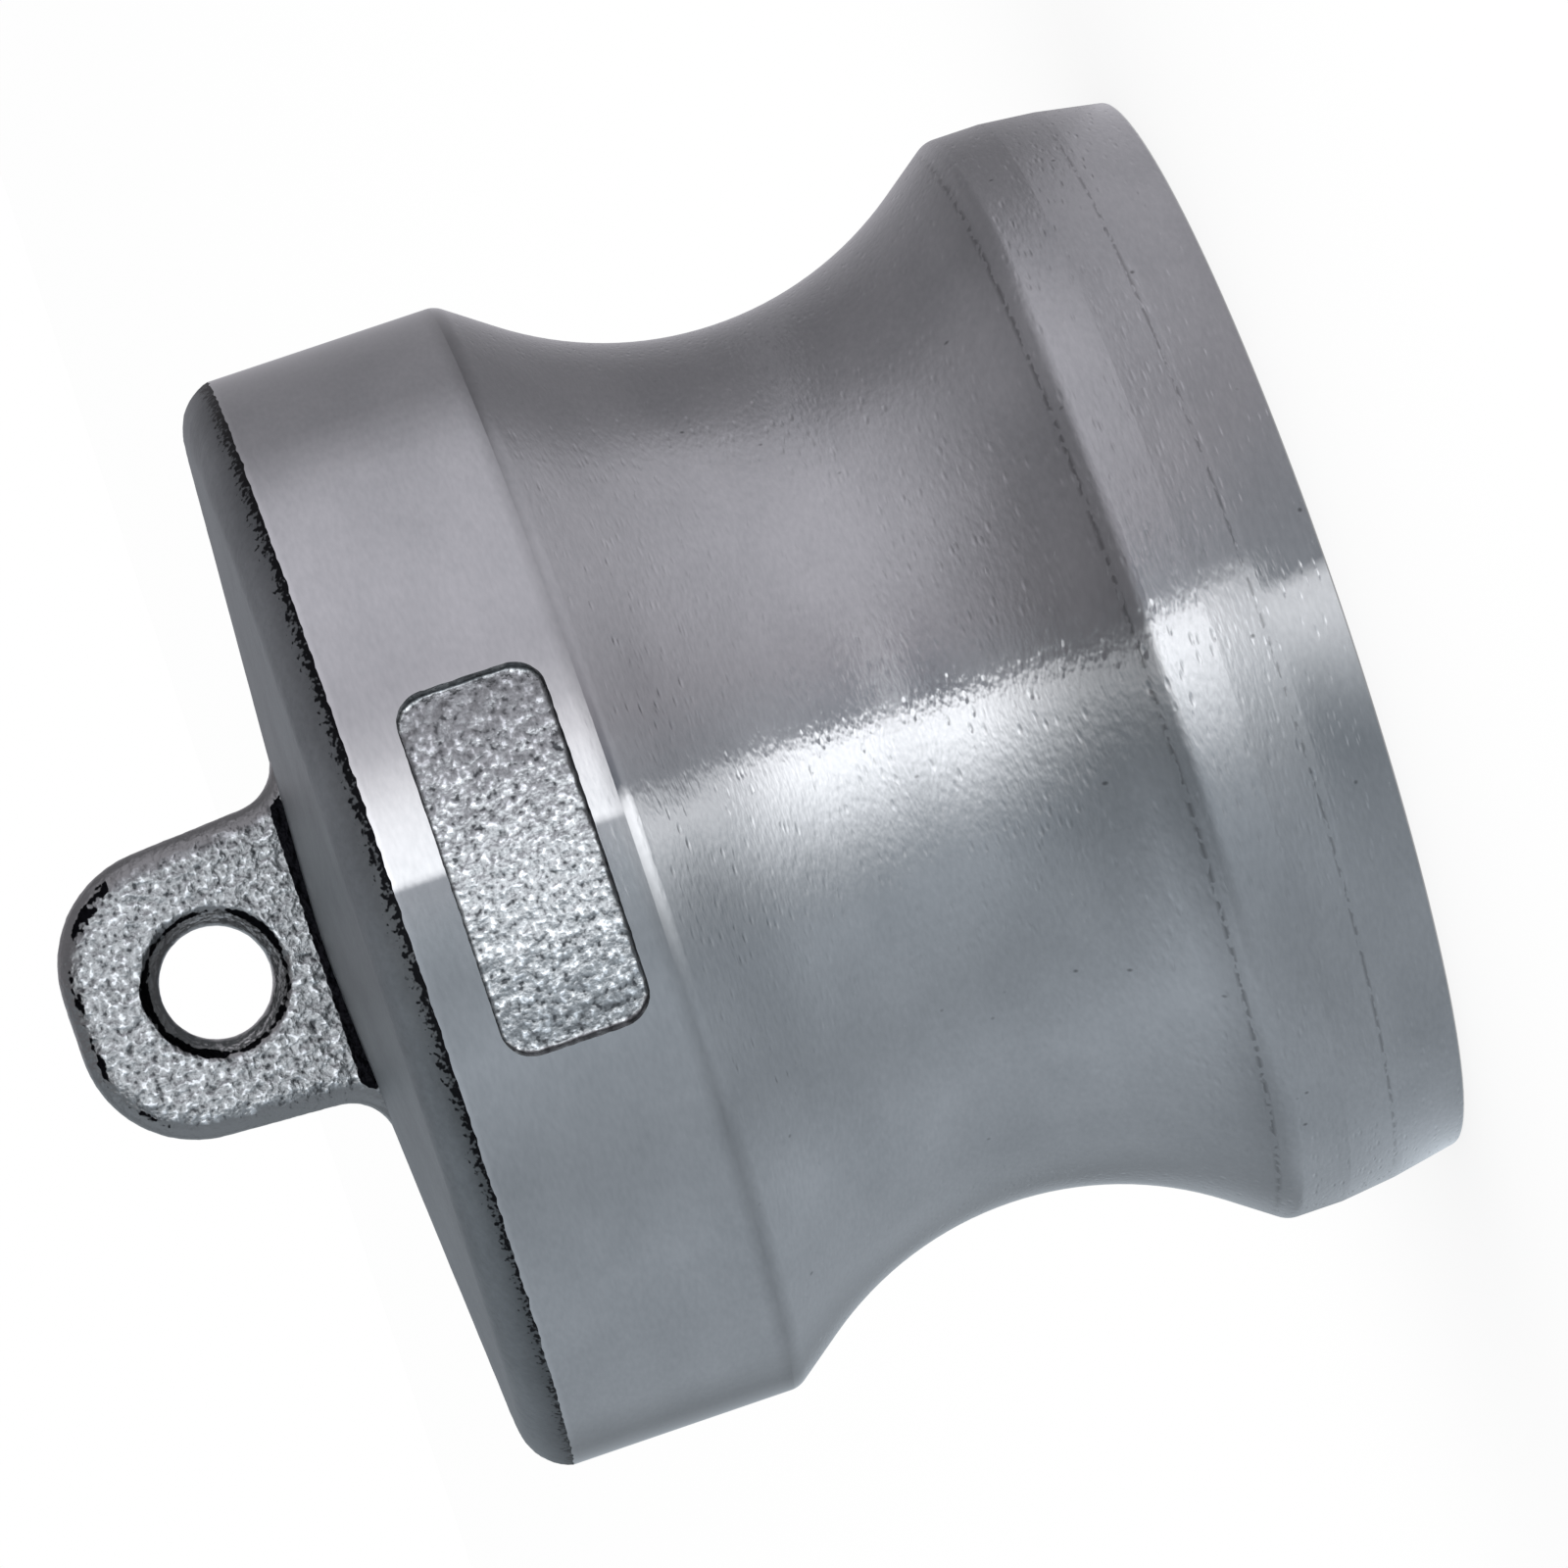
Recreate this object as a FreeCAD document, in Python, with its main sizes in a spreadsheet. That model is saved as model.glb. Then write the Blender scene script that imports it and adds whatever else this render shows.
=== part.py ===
import FreeCAD, Part

import os

import Sketcher
from FreeCAD import Placement, Rotation, Vector

# A dust plug for a cam and groove hose coupling, cast in stainless steel and then turned.
# It is one piece: a hollow head with a cam groove, a closed end and a drilled lug for a chain.
# Frame: millimetres, +Z up. The plug stands on its open head end, with its axis on Z.
# The origin is the middle of the flat sealing face. The lug's flat sides face -Y and +Y.

doc = FreeCAD.newDocument("dust_plug")


# Driving dimensions, in millimetres and degrees

SIZES = [
    # The head: a short land, with two slight tapers that lead it into the coupling.
    ("outer_diameter", 32.0),
    ("head_height", 5.1),
    ("face_inset", 0.53),
    ("nose_inset", 0.17),
    ("nose_height", 1.95),
    ("taper_height", 3.55),
    # The groove that the two cam arms press into: a wide vee with a big round floor.
    ("groove_width", 14.6),
    ("groove_flank_angle", 36.2),
    ("groove_floor_round", 9.9),
    ("groove_edge_break", 0.45),
    # The flange above the groove, and the shallow cone that closes the plug.
    ("flange_height", 7.7),
    ("crown_rise", 1.05),
    ("shoulder_round", 1.5),
    # The cored hollow, open at the head end.
    ("groove_wall", 2.5),
    ("end_wall", 3.7),
    ("cavity_mouth_break", 0.5),
    # The lug: a tapered plate with round corners and a round rim, and a curved foot each side.
    ("lug_thickness", 3.4),
    ("lug_rise", 7.25),
    ("lug_base_width", 8.85),
    ("lug_tip_width", 7.9),
    ("lug_tip_round", 3.3),
    ("lug_foot_round", 1.3),
    ("lug_foot_thickness", 1.9),
    ("lug_rim_round", 0.75),
    ("lug_root_depth", 2.0),
    # The eye in the lug, for the chain's ring.
    ("eye_diameter", 3.2),
    ("eye_drop", 4.2),
    ("eye_countersink", 0.45),
    # The sunk pad in the flange. Its floor keeps the flange's curve.
    ("pad_gap", 1.05),
    ("pad_height", 4.15),
    ("pad_depth", 0.4),
    ("pad_span", 37.1),
    ("pad_turn", 1.9),
    ("pad_corner_round", 0.9),
    # How far a cutting shape stands clear of the skin, and how far the lug's foot is sunk in it.
    ("cut_margin", 1.0),
    ("foot_sink", 0.03),
    ("foot_margin", 0.3),
]

sheet = doc.addObject("Spreadsheet::Sheet", "Sizes")
for row, (alias, value) in enumerate(SIZES, start=1):
    sheet.set("A%d" % row, alias)
    sheet.set("B%d" % row, str(value))
    sheet.setAlias("B%d" % row, alias)
doc.recompute()


# Sizes that follow from the driving ones, as formulas

RADIUS = "(Sizes.outer_diameter / 2)"
GROOVE_TOP = "(Sizes.head_height + Sizes.groove_width)"
GROOVE_MIDDLE = "(Sizes.head_height + Sizes.groove_width / 2)"
VEE_RISE = "tan(Sizes.groove_flank_angle)"
VEE_POINT = "(%s - Sizes.groove_width / 2 * %s)" % (RADIUS, VEE_RISE)
VEE_FILL = "(Sizes.groove_floor_round * (1 / cos(Sizes.groove_flank_angle) - 1))"
GROOVE_FLOOR = "(%s + %s)" % (VEE_POINT, VEE_FILL)
SHOULDER = "(%s + Sizes.flange_height)" % GROOVE_TOP
CROWN = "(%s + Sizes.crown_rise)" % SHOULDER
TIP = "(%s + Sizes.lug_rise)" % CROWN
EYE = "(%s - Sizes.eye_drop)" % TIP
CAVITY_RADIUS = "(%s - Sizes.groove_wall)" % GROOVE_FLOOR
CAVITY_DEPTH = "(%s - Sizes.end_wall)" % SHOULDER
PAD_LOW = "(%s + Sizes.pad_gap)" % GROOVE_TOP
PAD_HIGH = "(%s + Sizes.pad_height)" % PAD_LOW
PAD_FLOOR = "(%s - Sizes.pad_depth)" % RADIUS
CLEAR = "(%s + Sizes.cut_margin)" % RADIUS
VEE_REACH = "((%s - %s) / %s)" % (CLEAR, VEE_POINT, VEE_RISE)
HALF_BASE = "(Sizes.lug_base_width / 2)"
HALF_TIP = "(Sizes.lug_tip_width / 2)"
FOOT_REACH = "(%s + Sizes.lug_foot_round + Sizes.foot_margin)" % HALF_BASE
FOOT = "(%s - Sizes.crown_rise * %s / %s - Sizes.foot_sink)" % (CROWN, FOOT_REACH, RADIUS)
ROOT = "(%s - Sizes.lug_root_depth)" % FOOT
SIDE_SLOPE = "((%s - %s) / (%s - %s))" % (HALF_BASE, HALF_TIP, TIP, FOOT)


def measure(formula):
    """The number that a formula gives with the sheet's present values."""
    return float(sheet.evalExpression(formula))


# The body, and helpers that draw its sketches

body = doc.addObject("PartDesign::Body", "PlugBody")
body.Label = "plug_body"
doc.recompute()

ORIGIN = -1
START, END, MIDDLE = range(1, 4)
ZERO_LINE = {"DistanceX": -2, "DistanceY": -1}
NORMAL = Vector(0, 0, 1)


def side_sketch(name, turn=None):
    """A sketch on the upright plane through the axis, or on that plane turned about the axis."""
    plane = next(item for item in body.Origin.OriginFeatures if item.Role == "XZ_Plane")
    sketch = body.newObject("Sketcher::SketchObject", name)
    sketch.AttachmentSupport = [(plane, "")]
    sketch.MapMode = "FlatFace"
    if turn:
        sketch.AttachmentOffset = Placement(Vector(), Rotation(Vector(0, -1, 0), measure(turn)))
        sketch.setExpression("AttachmentOffset.Rotation.Angle", turn)
    return sketch


def hold_value(sketch, constraint, formula):
    """Add a constraint that has a size, and bind that size to its formula."""
    index = sketch.addConstraint(constraint)
    sketch.setExpression("Constraints[%d]" % index, formula)


def hold_place(sketch, item, end, across, up):
    """Hold a point at its distances from the axis and from the face, or on their zero lines."""
    for kind, formula in (("DistanceX", across), ("DistanceY", up)):
        if formula == "0":
            sketch.addConstraint(Sketcher.Constraint("PointOnObject", item, end, ZERO_LINE[kind]))
        else:
            distance = Sketcher.Constraint(kind, ORIGIN, START, item, end, measure(formula))
            hold_value(sketch, distance, formula)


def draw_outline(sketch, corners, rounds=()):
    """A closed outline of straight lines through corners held by formulas, some of them rounded."""
    points = [Vector(measure(across), measure(up), 0) for across, up in corners]
    count = len(points)
    for line in range(count):
        sketch.addGeometry(Part.LineSegment(points[line], points[(line + 1) % count]), False)
    for line in range(count):
        following = (line + 1) % count
        shared = Sketcher.Constraint("Coincident", line, END, following, START)
        sketch.addConstraint(shared)
    corner_points = {corner: corner for corner in range(count)}
    for corner, radius in rounds:
        keep_corner = True
        sketch.fillet(corner, START, measure(radius), True, keep_corner)
        arc, corner_points[corner] = sketch.GeometryCount - 2, sketch.GeometryCount - 1
        hold_value(sketch, Sketcher.Constraint("Radius", arc, measure(radius)), radius)
    for corner, (across, up) in enumerate(corners):
        hold_place(sketch, corner_points[corner], START, across, up)
    doc.recompute()


def draw_circle(sketch, across, up, radius):
    """A circle with its middle and its radius held by formulas."""
    middle = Vector(measure(across), measure(up), 0)
    circle = sketch.addGeometry(Part.Circle(middle, NORMAL, measure(radius)), False)
    hold_place(sketch, circle, MIDDLE, across, up)
    hold_value(sketch, Sketcher.Constraint("Radius", circle, measure(radius)), radius)
    doc.recompute()


# Helpers that turn a sketch about the axis, and that dress edges

def turn_section(kind, name, sketch, angle="360"):
    """Turn a section about the plug's axis, as added metal or as a cut."""
    feature = body.newObject("PartDesign::%s" % kind, name)
    feature.Profile = sketch
    feature.ReferenceAxis = (sketch, ["V_Axis"])
    feature.Midplane = True
    feature.Angle = measure(angle)
    feature.setExpression("Angle", angle)
    doc.recompute()


DRESSING_SIZE = {"Fillet": "Radius", "Chamfer": "Size"}


def dress_edges(kind, name, size, chosen):
    """Round or break the edges of the body that the test picks, by a size of the sheet."""
    base = body.Tip
    names = ["Edge%d" % i for i, edge in enumerate(base.Shape.Edges, start=1) if chosen(edge)]
    print(name, len(names), "edges")
    dressing = body.newObject("PartDesign::%s" % kind, name)
    dressing.Base = (base, names)
    dressing.setExpression(DRESSING_SIZE[kind], "Sizes.%s" % size)
    doc.recompute()


NEAR = 0.001


def near(first, second):
    """Whether two lengths are the same but for rounding."""
    return abs(first - second) < NEAR


def ring_at(radius, *heights):
    """A test for the round edges about the plug's axis with this radius and these heights."""
    def chosen(edge):
        if not isinstance(edge.Curve, Part.Circle):
            return False
        middle = edge.Curve.Center
        on_axis = near(middle.x, 0) and near(middle.y, 0) and near(edge.Curve.Radius, radius)
        return on_axis and any(near(middle.z, height) for height in heights)
    return chosen


def cross_edge_at(half_width, height):
    """A test for the lug's two short straight edges that run through its thickness here."""
    def chosen(edge):
        box = edge.BoundBox
        straight = near(box.XLength, 0) and near(box.ZLength, 0)
        return straight and near(abs(box.XMin), half_width) and near(box.ZMin, height)
    return chosen


# The lug: a tapered plate that stands in the crown, and a foot that curves out on each side

def mirrored(right_side):
    """The corners of a right half, followed by their twins on the left."""
    return right_side + [("-%s" % across, up) for across, up in reversed(right_side)]


def pad_across(name, sketch, thickness):
    """Give an outline its thickness, half to each side of the plane that it is drawn on."""
    plate = body.newObject("PartDesign::Pad", name)
    plate.Profile = sketch
    plate.Midplane = True
    plate.setExpression("Length", thickness)
    doc.recompute()


lug_outline = side_sketch("LugOutline")
draw_outline(lug_outline, mirrored([
    ("(%s + Sizes.lug_root_depth * %s)" % (HALF_BASE, SIDE_SLOPE), ROOT),
    (HALF_TIP, TIP),
]))
pad_across("LugPlate", lug_outline, "Sizes.lug_thickness")

half_plate = measure("Sizes.lug_thickness / 2")
root_height = measure(ROOT)
tip_corners = cross_edge_at(measure(HALF_TIP), measure(TIP))
dress_edges("Fillet", "LugTipRound", "lug_tip_round", tip_corners)


def on_lug_rim(edge):
    """Whether an edge runs round one of the lug's flat sides, but not along its root."""
    box = edge.BoundBox
    in_flat = near(box.YLength, 0) and near(abs(box.YMin), half_plate)
    return in_flat and box.ZMax > root_height + NEAR


dress_edges("Fillet", "LugRim", "lug_rim_round", on_lug_rim)

foot_outline = side_sketch("FootOutline")
foot_top = "(2 * Sizes.lug_foot_round)"
draw_outline(foot_outline, mirrored([
    (FOOT_REACH, ROOT),
    (FOOT_REACH, FOOT),
    (HALF_BASE, FOOT),
    ("(%s - %s * %s)" % (HALF_BASE, SIDE_SLOPE, foot_top), "%s + %s" % (FOOT, foot_top)),
]), rounds=[(2, "Sizes.lug_foot_round"), (5, "Sizes.lug_foot_round")])
pad_across("LugFoot", foot_outline, "Sizes.lug_foot_thickness")


# The blank: the plug's outside without its groove, from the sealing face to the crown

blank_section = side_sketch("BlankSection")
draw_outline(blank_section, [
    ("0", "0"),
    ("%s - Sizes.face_inset" % RADIUS, "0"),
    ("%s - Sizes.nose_inset" % RADIUS, "Sizes.nose_height"),
    (RADIUS, "Sizes.taper_height"),
    (RADIUS, SHOULDER),
    ("0", CROWN),
], rounds=[(4, "Sizes.shoulder_round")])
turn_section("Revolution", "Blank", blank_section)


# The cam groove: a vee with a round bottom, turned round the plug

groove_section = side_sketch("GrooveSection")
draw_outline(groove_section, [
    (VEE_POINT, GROOVE_MIDDLE),
    (CLEAR, "%s - %s" % (GROOVE_MIDDLE, VEE_REACH)),
    (CLEAR, "%s + %s" % (GROOVE_MIDDLE, VEE_REACH)),
], rounds=[(0, "Sizes.groove_floor_round")])
turn_section("Groove", "CamGroove", groove_section)

outer_radius = measure(RADIUS)
groove_edges = ring_at(outer_radius, measure("Sizes.head_height"), measure(GROOVE_TOP))
dress_edges("Chamfer", "GrooveEdges", "groove_edge_break", groove_edges)


# The hollow inside, open at the head end

cavity_section = side_sketch("CavitySection")
draw_outline(cavity_section, [
    ("0", "0"),
    (CAVITY_RADIUS, "0"),
    (CAVITY_RADIUS, CAVITY_DEPTH),
    ("0", CAVITY_DEPTH),
])
turn_section("Groove", "Cavity", cavity_section)
cavity_mouth = ring_at(measure(CAVITY_RADIUS), 0)
dress_edges("Chamfer", "CavityMouth", "cavity_mouth_break", cavity_mouth)


# The eye: a round hole through the lug, countersunk on both sides

eye_circle = side_sketch("EyeCircle")
draw_circle(eye_circle, "0", EYE, "Sizes.eye_diameter / 2")
eye = body.newObject("PartDesign::Pocket", "Eye")
eye.Profile = eye_circle
eye.Midplane = True
eye.setExpression("Length", "Sizes.lug_thickness + 2 * Sizes.cut_margin")
doc.recompute()


def on_eye_mouth(edge):
    """Whether an edge is the round mouth of the eye in one of the lug's flat sides."""
    if not isinstance(edge.Curve, Part.Circle):
        return False
    middle = edge.Curve.Center
    return near(abs(middle.y), half_plate) and near(middle.x, 0) and near(middle.z, measure(EYE))


dress_edges("Chamfer", "EyeMouths", "eye_countersink", on_eye_mouth)


# The pad: a shallow window turned into the flange, a little off the lug's flat side

pad_section = side_sketch("PadSection", "90 - Sizes.pad_turn")
draw_outline(pad_section, [
    (PAD_FLOOR, PAD_LOW),
    (CLEAR, PAD_LOW),
    (CLEAR, PAD_HIGH),
    (PAD_FLOOR, PAD_HIGH),
])
turn_section("Groove", "Pad", pad_section, "Sizes.pad_span")

pad_floor_radius = measure(PAD_FLOOR)
pad_ends = (measure(PAD_LOW), measure(PAD_HIGH))


def on_pad_corner(edge):
    """Whether an edge is one of the four short ones that run inwards at the pad's corners."""
    box = edge.BoundBox
    if not near(box.ZLength, 0) or not any(near(box.ZMin, height) for height in pad_ends):
        return False
    reaches = sorted(Vector(vertex.X, vertex.Y, 0).Length for vertex in edge.Vertexes)
    return near(reaches[0], pad_floor_radius) and near(reaches[-1], outer_radius)


dress_edges("Fillet", "PadCorners", "pad_corner_round", on_pad_corner)


# Check every object, then write the one solid

doc.recompute()
for item in doc.Objects:
    if "Invalid" in item.State or "Error" in item.State:
        raise SystemExit("%s failed: %s" % (item.Name, item.State))

shape = body.Shape
if shape.isNull() or not shape.isValid() or len(shape.Solids) != 1:
    raise SystemExit("plug_body is not one valid solid")

os.makedirs("parts", exist_ok=True)
shape.exportStep("parts/%s.step" % body.Label)
extent = shape.optimalBoundingBox()
print("plug_body: volume %.1f mm3, %.2f x %.2f x %.2f mm, lowest at z %.3f"
      % (shape.Volume, extent.XLength, extent.YLength, extent.ZLength, extent.ZMin))
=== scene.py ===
# %% [markdown]
# # A cam and groove dust plug, cast and then turned
# The plug is one casting in stainless steel. A lathe has then cut its outside, and left the closed end,
# the lug and the sunk pad as they came from the mould. This notebook makes it the same way: a rough
# casting, a smooth turned outside, and the two brought together. The first lines load the measured solid,
# which says how big everything is and stays in place as the guide.

import math

import bmesh
import bpy
import numpy as np
from mathutils import Matrix, Vector, noise


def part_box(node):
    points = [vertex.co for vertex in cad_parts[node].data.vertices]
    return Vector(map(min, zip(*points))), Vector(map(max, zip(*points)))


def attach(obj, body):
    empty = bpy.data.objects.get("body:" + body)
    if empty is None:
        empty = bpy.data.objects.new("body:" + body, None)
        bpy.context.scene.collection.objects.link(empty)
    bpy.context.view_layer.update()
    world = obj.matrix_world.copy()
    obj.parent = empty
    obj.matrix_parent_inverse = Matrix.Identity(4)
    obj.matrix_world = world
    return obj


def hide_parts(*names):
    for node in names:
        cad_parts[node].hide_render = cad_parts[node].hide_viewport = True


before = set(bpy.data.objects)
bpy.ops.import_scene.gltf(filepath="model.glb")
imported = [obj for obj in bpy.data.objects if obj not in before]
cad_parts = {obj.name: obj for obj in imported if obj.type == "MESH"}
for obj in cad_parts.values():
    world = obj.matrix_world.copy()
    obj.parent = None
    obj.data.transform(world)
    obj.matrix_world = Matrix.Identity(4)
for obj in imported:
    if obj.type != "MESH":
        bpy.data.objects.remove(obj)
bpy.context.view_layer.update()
plug_low, plug_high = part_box("plug_body")
print("measured solid, mm:", [round(1000 * side, 2) for side in plug_high - plug_low])

# %% [markdown]
# ## Where the camera stands
# The photograph looks square at the lug's flat side, a little from the lug's end, and the plug lies in it
# with its head up to the right. The real plug stands on its head here, so it is the camera that is rolled.
# Its right and up directions are built from the plug's axis first, and then turned by the slant of the
# axis in the picture. A long lens from 27 cm gives the same slight perspective.

# %% Set up the camera
MM = 0.001
SLANT = math.radians(18.7)
LOOK_DOWN = math.radians(3.8)
CAMERA_DISTANCE = 273 * MM
PIXELS_PER_RADIAN = 9900
PICTURE_SIDE = 1600
PLUG_IN_PICTURE = Vector((857, 787))

plug_middle = Vector((0, 0, 13 * MM))
looking = Vector((0, math.cos(LOOK_DOWN), -math.sin(LOOK_DOWN)))
along_axis = Vector((0, -math.sin(LOOK_DOWN), -math.cos(LOOK_DOWN)))
across_axis = Vector((1, 0, 0))
right = along_axis * math.cos(SLANT) - across_axis * math.sin(SLANT)
up = along_axis * math.sin(SLANT) + across_axis * math.cos(SLANT)

off_centre = (PLUG_IN_PICTURE - Vector((PICTURE_SIDE / 2, PICTURE_SIDE / 2))) / PIXELS_PER_RADIAN
aim = plug_middle - (right * off_centre.x - up * off_centre.y) * CAMERA_DISTANCE

camera_data = bpy.data.cameras.new("plug_camera")
camera_data.sensor_width = 36
camera_data.lens = PIXELS_PER_RADIAN / PICTURE_SIDE * camera_data.sensor_width
camera_data.clip_start = 10 * MM
camera = bpy.data.objects.new("plug_camera", camera_data)
camera.matrix_world = Matrix.Translation(aim - looking * CAMERA_DISTANCE) @ Matrix(
    (right, up, -looking)).transposed().to_4x4()
bpy.context.scene.collection.objects.link(camera)
bpy.context.scene.camera = camera
print("lens, mm:", round(camera_data.lens, 1))

# %% [markdown]
# ## Working in millimetres
# The details are tenths of a millimetre. Remeshing and cutting work better when one such detail isn't a
# ten-thousandth of a unit, so all meshes are made in millimetres, and only the finished one is scaled
# down to metres. Each mesh carries the same four finishes in the same order, so that a face keeps its
# finish when two meshes are joined or cut.

# %% Finishes, and a helper that makes a piece of metal
FINISHES = ["turned_steel", "cast_crown", "cast_grain", "cored_wall"]
TURNED, CROWN, GRAIN, CORED = range(len(FINISHES))
finishes = [bpy.data.materials.new(name) for name in FINISHES]


def metal_piece(name, mesh_maker, finish):
    """Make an object from a bmesh, with every face in one finish."""
    for face in mesh_maker.faces:
        face.material_index = finish
        face.smooth = True
    bmesh.ops.recalc_face_normals(mesh_maker, faces=mesh_maker.faces)
    mesh = bpy.data.meshes.new(name)
    mesh_maker.to_mesh(mesh)
    mesh_maker.free()
    for material in finishes:
        mesh.materials.append(material)
    piece = bpy.data.objects.new(name, mesh)
    bpy.context.scene.collection.objects.link(piece)
    return piece


# %% [markdown]
# ## The turned profile
# A lathe tool follows one line, so the turned outside is that line spun about the axis. The line is
# written as corners, each with its own round: the sealing face, two slight lead-in tapers, the land, the
# cam groove (a wide vee whose bottom round is nearly as large as the groove) and the flange. It goes on
# straight up past the closed end, because there it cuts nothing. Each stretch remembers its direction, so
# that the shading can follow the true line later.

# %% Write the turned profile
RADIUS = 16.0
FACE_RADIUS, FACE_ROUND = 15.47, 0.12
NOSE_RADIUS, NOSE_HEIGHT = 15.83, 1.95
TAPER_HEIGHT = 3.55
GROOVE_MIDDLE = 12.4
GROOVE_HALF_WIDTH = 7.3
FLANK_RISE = math.tan(math.radians(36.2))
GROOVE_ROUND = 9.9
EDGE_ROUND = 0.7
ABOVE_ALL = 42.0

TURNED_CORNERS = [
    # radius, height, round, rows in the round
    (0, 0, 0, 0),
    (FACE_RADIUS, 0, FACE_ROUND, 3),
    (NOSE_RADIUS, NOSE_HEIGHT, 0, 0),
    (RADIUS, TAPER_HEIGHT, 0, 0),
    (RADIUS, GROOVE_MIDDLE - GROOVE_HALF_WIDTH, EDGE_ROUND, 6),
    (RADIUS - GROOVE_HALF_WIDTH * FLANK_RISE, GROOVE_MIDDLE, GROOVE_ROUND, 32),
    (RADIUS, GROOVE_MIDDLE + GROOVE_HALF_WIDTH, EDGE_ROUND, 6),
    (RADIUS, ABOVE_ALL, 0, 0),
    (0, ABOVE_ALL, 0, 0),
]


def rounded_line(corners):
    """Points of a line whose corners are rounded, and the outward directions at each stretch's ends."""
    points, stretches = [Vector(corners[0][:2])], []

    def go_to(point, leaving=None, arriving=None):
        run = (point - points[-1]).normalized()
        outward = Vector((run.y, -run.x))
        stretches.append((points[-1], point, leaving or outward, arriving or outward))
        points.append(point)

    for before, corner, after in zip(corners, corners[1:], corners[2:]):
        here = Vector(corner[:2])
        if not corner[2]:
            go_to(here)
            continue
        into = (here - Vector(before[:2])).normalized()
        out_of = (Vector(after[:2]) - here).normalized()
        turn = into.angle(out_of)
        reach = corner[2] * math.tan(turn / 2)
        side = 1 if into.x * out_of.y - into.y * out_of.x > 0 else -1
        centre = here - into * reach + Vector((-into.y, into.x)) * corner[2] * side
        go_to(here - into * reach)
        spoke = points[-1] - centre
        for row in range(corner[3]):
            angle = side * turn * (row + 1) / corner[3]
            ray = Vector((spoke.x * math.cos(angle) - spoke.y * math.sin(angle),
                          spoke.x * math.sin(angle) + spoke.y * math.cos(angle)))
            go_to(centre + ray, (points[-1] - centre).normalized() * side, ray.normalized() * side)
    go_to(Vector(corners[-1][:2]))
    return points, stretches


turned_line, turned_stretches = rounded_line(TURNED_CORNERS)
print("points in the turned line:", len(turned_line))

# %% [markdown]
# ## Spinning a line
# The spin goes round in many steps and its last step is welded to the first. With 384 steps the plug's
# outline stays within a thousandth of a millimetre of a true circle.

# %% Spin the turned profile
TURNED_STEPS = 384
WELD = 0.0005


def spun(name, line, steps, finish):
    """Spin a line of (radius, height) points about the axis into a closed piece."""
    maker = bmesh.new()
    ends = [maker.verts.new((radius, 0, height)) for radius, height in line]
    edges = [maker.edges.new(pair) for pair in zip(ends, ends[1:])]
    bmesh.ops.spin(maker, geom=ends + edges, axis=(0, 0, 1), cent=(0, 0, 0),
                   steps=steps, angle=2 * math.pi, use_merge=True)
    bmesh.ops.remove_doubles(maker, verts=maker.verts, dist=WELD)
    return metal_piece(name, maker, finish)


turned_outside = spun("turned_outside", turned_line, TURNED_STEPS, TURNED)
print("turned outside, faces:", len(turned_outside.data.polygons))

# %% [markdown]
# ## The rough casting
# The casting is a little larger than the turned outside wherever the lathe cuts, and its closed end is a
# very flat cone with a round shoulder. The skin of a casting is never quite smooth, so its points move in
# and out by a few hundredths of a millimetre. Real moves are better than a bump here: where the lathe cut
# runs out over the shoulder, they make the edge of the cut wander as it does on the real plug.

# %% Spin the casting and roughen its skin
CROWN_TOP = 28.45
CROWN_FALL = 1.05 / RADIUS
STOCK = 0.06
SHOULDER_ROUND = 1.55
SHOULDER_ROWS = 12
SMOOTH_BELOW = 25.5
CAST_STEPS = 480


def crown_height(out):
    """How high the closed end stands this far from the axis."""
    return CROWN_TOP - CROWN_FALL * out


cast_radius = RADIUS + STOCK
crown_edge = cast_radius - SHOULDER_ROUND
shoulder_middle = crown_height(crown_edge) - SHOULDER_ROUND * math.hypot(1, CROWN_FALL)
cut_height = shoulder_middle + math.sqrt(SHOULDER_ROUND ** 2 - (RADIUS - crown_edge) ** 2)
shoulder_line, _ = rounded_line([
    (0, CROWN_TOP, 0, 0),
    (cast_radius, crown_height(cast_radius), SHOULDER_ROUND, SHOULDER_ROWS),
    (cast_radius, SMOOTH_BELOW + 0.4, 0, 0),
    (cast_radius + 1, SMOOTH_BELOW - 0.5, 0, 0),
    (cast_radius + 1, -1, 0, 0),
    (0, -1, 0, 0),
])
crown_rows = np.concatenate([np.arange(0, 12.5, 0.6), np.arange(12.5, crown_edge, 0.2)])
casting_line = [Vector((out, crown_height(out))) for out in crown_rows] + shoulder_line[1:]
casting = spun("casting", casting_line, CAST_STEPS, CROWN)


def grain_height(place, size, seed):
    """Bumps of about this size in millimetres, from -1 to 1, with finer ones on them."""
    where = place / size + Vector((seed, seed, seed))
    return noise.noise(where) * 1.2 + noise.noise(where * 2.3) * 0.5


def roughen(piece, depth_at, size, seed):
    """Move each point of a piece along its normal, by bumps of the depth that depth_at gives there."""
    points = piece.data.vertices
    moved = []
    for place, normal in [(point.co.copy(), point.normal.copy()) for point in points]:
        depth = depth_at(place)
        if depth:
            place += normal * depth * grain_height(place, size, seed)
        moved.extend(place)
    points.foreach_set("co", moved)
    piece.data.update()


def crown_depth(place):
    """The closed end is fairly smooth, its shoulder is rougher, and what is cut away needs no bumps."""
    if place.z < SMOOTH_BELOW:
        return 0
    out = math.hypot(place.x, place.y)
    return 0.008 + 0.006 * min(1, max(0, (out - 13.8) / 1.2))


roughen(casting, crown_depth, size=0.3, seed=3.1)
print("casting, faces:", len(casting.data.polygons), "the cut ends at, mm:", round(cut_height, 2))

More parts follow.
